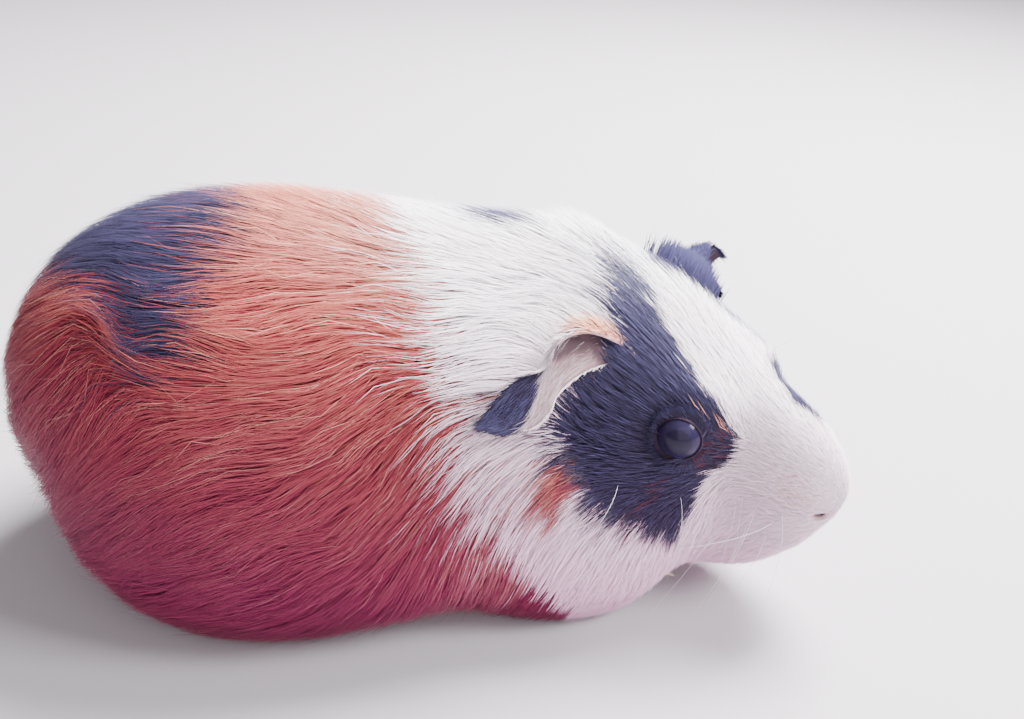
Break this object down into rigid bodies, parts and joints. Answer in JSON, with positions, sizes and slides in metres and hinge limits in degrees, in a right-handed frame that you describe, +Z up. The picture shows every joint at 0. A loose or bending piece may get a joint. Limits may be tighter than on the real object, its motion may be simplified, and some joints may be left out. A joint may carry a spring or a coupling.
{
  "type": "guinea pig, still life-size model",
  "caption": "Life-size still model of a smooth-coated guinea pig resting on its belly, head turned to its right, in a ginger, white and black coat.",
  "frame": {"origin": "on the floor, in the middle of the flat that the belly rests on", "axes": "+X forward along the trunk, +Y to the left side of the animal, +Z up"},
  "size_m": [0.1988, 0.1178, 0.0938],
  "materials": {
    "coat_ginger": "reddish ginger hair, soft sheen",
    "coat_white": "white hair, soft sheen",
    "coat_black": "black hair, soft sheen",
    "bare_skin": "thin matt skin",
    "eye": "wet gloss",
    "claw": "horn, low gloss"
  },
  "bodies": {
    "root": {"trunk": "coat_ginger", "neck": "coat_white", "head": "coat_white", "foreleg_left": "coat_white", "foreleg_right": "coat_white", "hindleg_left": "coat_ginger", "hindleg_right": "coat_ginger", "ear_left": "coat_black", "ear_right": "coat_black", "eye_left": "eye", "eye_right": "eye", "claw_foreleg_left_1": "claw", "claw_foreleg_left_2": "claw", "claw_foreleg_left_3": "claw", "claw_foreleg_left_4": "claw", "claw_foreleg_right_1": "claw", "claw_foreleg_right_2": "claw", "claw_foreleg_right_3": "claw", "claw_foreleg_right_4": "claw", "claw_hindleg_left_1": "claw", "claw_hindleg_left_2": "claw", "claw_hindleg_left_3": "claw", "claw_hindleg_right_1": "claw", "claw_hindleg_right_2": "claw", "claw_hindleg_right_3": "claw"}
  },
  "joints": []
}
